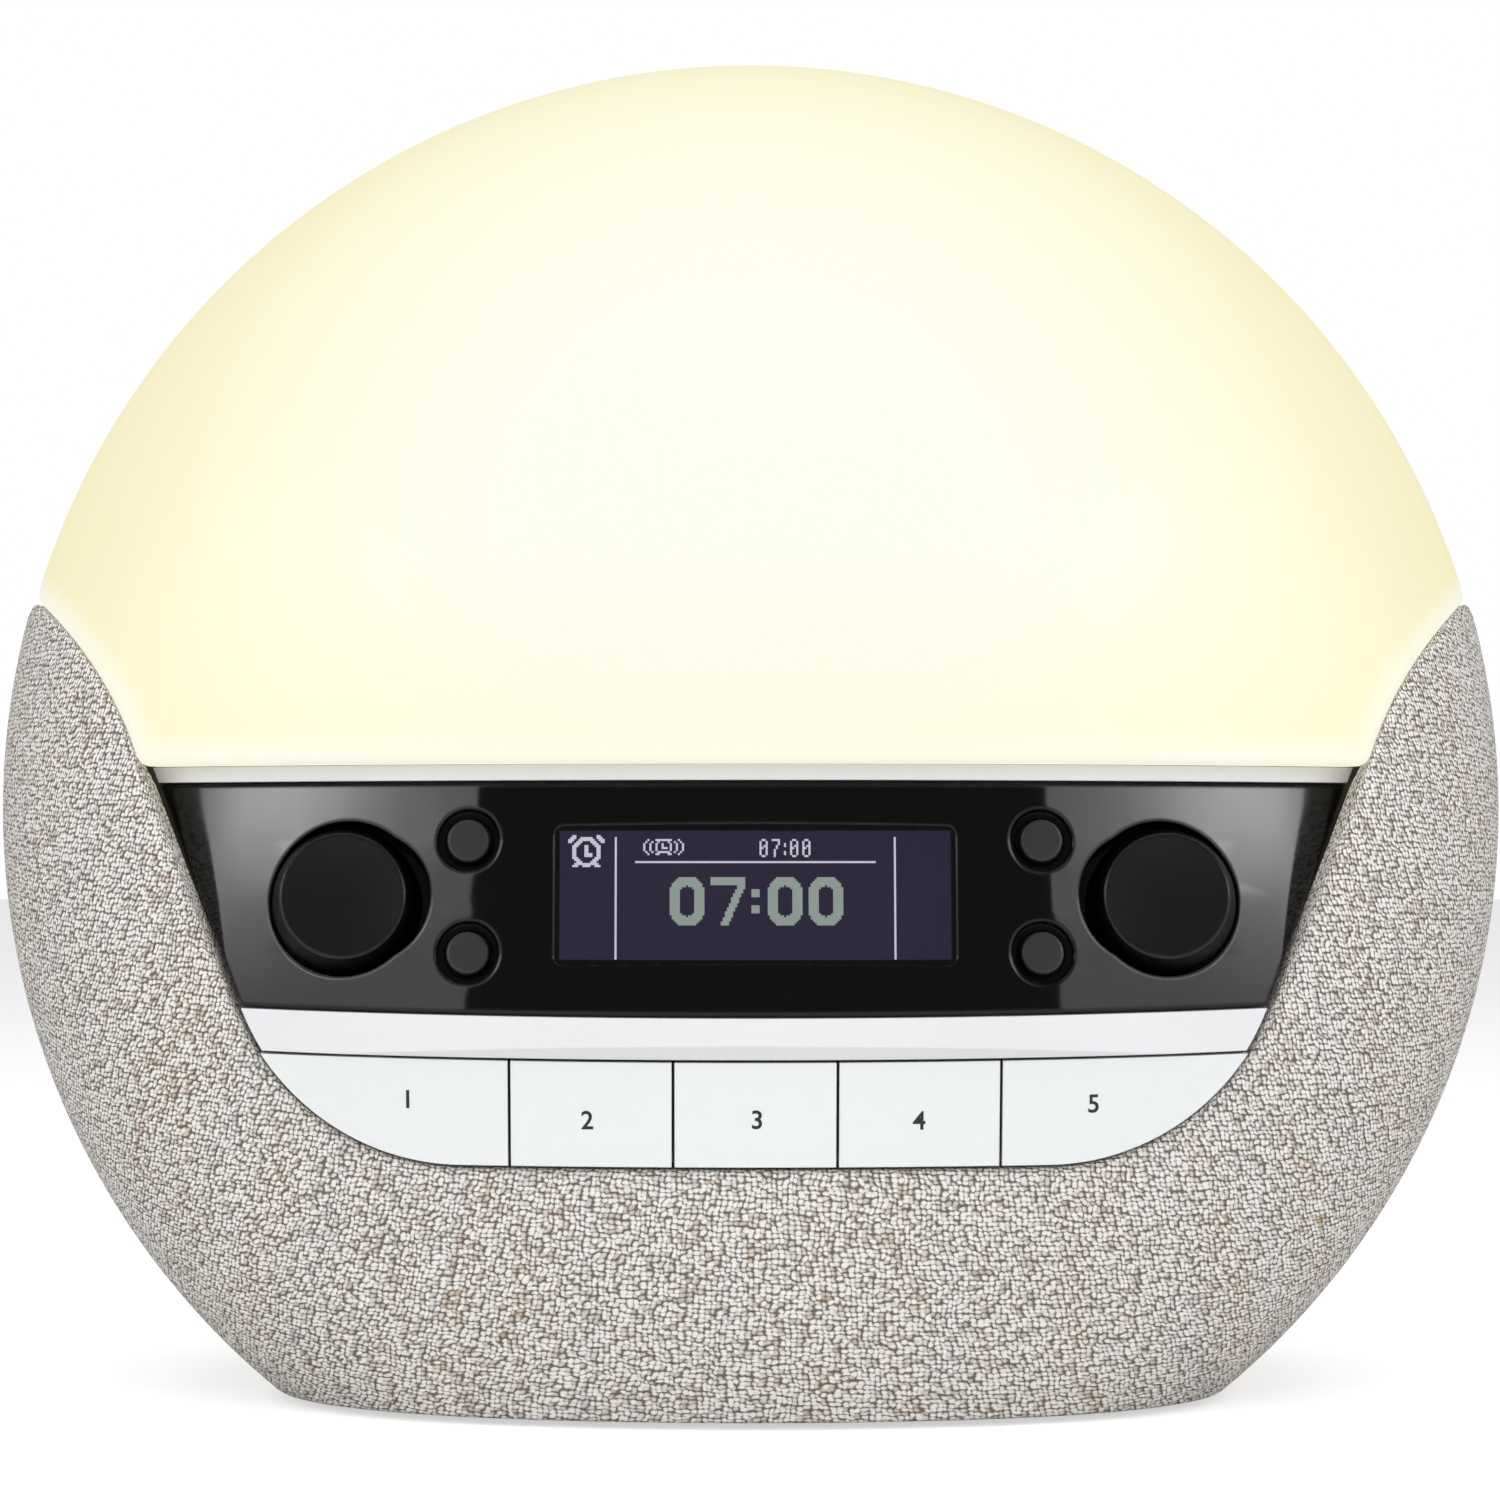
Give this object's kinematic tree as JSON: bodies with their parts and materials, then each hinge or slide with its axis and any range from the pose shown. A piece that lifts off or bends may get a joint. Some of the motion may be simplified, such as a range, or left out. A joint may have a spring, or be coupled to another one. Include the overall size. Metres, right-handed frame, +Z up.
{
  "type": "sunrise alarm clock",
  "caption": "Round bedside alarm clock with an opal light dome in a fabric-covered cradle, a leaning gloss control panel with turning and pressing knobs, and a row of preset keys.",
  "frame": {"origin": "on the surface that the clock stands on, below the middle of the body", "axes": "+X to the right seen from the front, +Y from front to back, +Z up; the front with display and keys faces -Y"},
  "size_m": [0.225, 0.1289, 0.2],
  "materials": {
    "fabric": "woven melange fabric",
    "shell": "moulded",
    "diffuser": "opal satin",
    "trim": "satin gloss",
    "black_gloss": "high gloss",
    "display": "high gloss, dark tint",
    "knob": "satin",
    "button": "matt",
    "key": "satin gloss",
    "inner_plastic": "moulded",
    "rear_cover": "fine texture",
    "rubber": "matt",
    "black_plastic": "moulded",
    "white_plastic": "moulded",
    "steel": "plated",
    "screw": "zinc plated",
    "brass": "plain",
    "aluminium": "plain",
    "board": "solder mask",
    "lamp_board": "white solder mask",
    "led": "clear",
    "cone": "pressed paper",
    "magnet": "plain"
  },
  "bodies": {
    "body": {"fabric_cover": "fabric", "cradle_shell": "shell", "diffuser_dome": "diffuser", "top_trim_strip": "trim", "lower_trim_strip": "trim", "control_panel": "black_gloss", "display_window": "display", "fascia_frame": "inner_plastic", "chassis": "inner_plastic", "rear_housing": "rear_cover", "base_plate": "rear_cover", "rubber_feet": "rubber", "socket_plate": "rear_cover", "dc_inlet": "black_plastic", "usb_socket": "steel", "aux_socket": "black_plastic", "main_board": "board", "control_board": "board", "key_board": "board", "socket_board": "board", "led_board": "lamp_board", "board_chips": "black_plastic", "board_capacitors": "aluminium", "coin_cell_holder": "black_plastic", "coin_cell": "steel", "board_screws": "screw", "chassis_screws": "screw", "rear_screws": "screw", "base_screws": "screw", "button_switches": "black_plastic", "key_switches": "black_plastic", "display_module": "black_plastic", "display_standoffs": "brass", "light_tray": "white_plastic", "leds": "led", "heat_sink": "aluminium", "left_encoder_body": "steel", "left_speaker_frame": "black_plastic", "left_speaker_cone": "cone", "left_speaker_magnet": "magnet", "right_encoder_body": "steel", "right_speaker_frame": "black_plastic", "right_speaker_cone": "cone", "right_speaker_magnet": "magnet"},
    "left_push": {"left_encoder_plunger": "white_plastic"},
    "left_knob_group": {"left_knob": "knob", "left_encoder_shaft": "aluminium"},
    "right_push": {"right_encoder_plunger": "white_plastic"},
    "right_knob_group": {"right_knob": "knob", "right_encoder_shaft": "aluminium"},
    "upper_left_button": {"button_upper_left": "button"},
    "lower_left_button": {"button_lower_left": "button"},
    "upper_right_button": {"button_upper_right": "button"},
    "lower_right_button": {"button_lower_right": "button"},
    "key_1": {"preset_key_1": "key"},
    "key_2": {"preset_key_2": "key"},
    "key_3": {"preset_key_3": "key"},
    "key_4": {"preset_key_4": "key"},
    "key_5": {"preset_key_5": "key"}
  },
  "joints": [
    {"name": "left_knob_press", "type": "slide", "parent": "body", "child": "left_push", "axis": [0, 0.9903, -0.1392], "range_m": [0, 0.0005], "stiffness_N_per_m": 400, "springref_m": -0.0005},
    {"name": "left_knob_turn", "type": "hinge", "parent": "left_push", "child": "left_knob_group", "pos_m": [-0.057, -0.04952, 0.07524], "axis": [0, -0.9903, 0.1392], "continuous": true},
    {"name": "right_knob_press", "type": "slide", "parent": "body", "child": "right_push", "axis": [0, 0.9903, -0.1392], "range_m": [0, 0.0005], "stiffness_N_per_m": 400, "springref_m": -0.0005},
    {"name": "right_knob_turn", "type": "hinge", "parent": "right_push", "child": "right_knob_group", "pos_m": [0.057, -0.04952, 0.07524], "axis": [0, -0.9903, 0.1392], "continuous": true},
    {"name": "upper_left_button_press", "type": "slide", "parent": "body", "child": "upper_left_button", "axis": [0, 0.9903, -0.1392], "range_m": [0, 0.0005], "stiffness_N_per_m": 300, "springref_m": -0.0005},
    {"name": "lower_left_button_press", "type": "slide", "parent": "body", "child": "lower_left_button", "axis": [0, 0.9903, -0.1392], "range_m": [0, 0.0005], "stiffness_N_per_m": 300, "springref_m": -0.0005},
    {"name": "upper_right_button_press", "type": "slide", "parent": "body", "child": "upper_right_button", "axis": [0, 0.9903, -0.1392], "range_m": [0, 0.0005], "stiffness_N_per_m": 300, "springref_m": -0.0005},
    {"name": "lower_right_button_press", "type": "slide", "parent": "body", "child": "lower_right_button", "axis": [0, 0.9903, -0.1392], "range_m": [0, 0.0005], "stiffness_N_per_m": 300, "springref_m": -0.0005},
    {"name": "key_1_press", "type": "slide", "parent": "body", "child": "key_1", "axis": [0, 1, 0], "range_m": [0, 0.0006], "stiffness_N_per_m": 300, "springref_m": -0.0006},
    {"name": "key_2_press", "type": "slide", "parent": "body", "child": "key_2", "axis": [0, 1, 0], "range_m": [0, 0.0006], "stiffness_N_per_m": 300, "springref_m": -0.0006},
    {"name": "key_3_press", "type": "slide", "parent": "body", "child": "key_3", "axis": [0, 1, 0], "range_m": [0, 0.0006], "stiffness_N_per_m": 300, "springref_m": -0.0006},
    {"name": "key_4_press", "type": "slide", "parent": "body", "child": "key_4", "axis": [0, 1, 0], "range_m": [0, 0.0006], "stiffness_N_per_m": 300, "springref_m": -0.0006},
    {"name": "key_5_press", "type": "slide", "parent": "body", "child": "key_5", "axis": [0, 1, 0], "range_m": [0, 0.0006], "stiffness_N_per_m": 300, "springref_m": -0.0006}
  ]
}
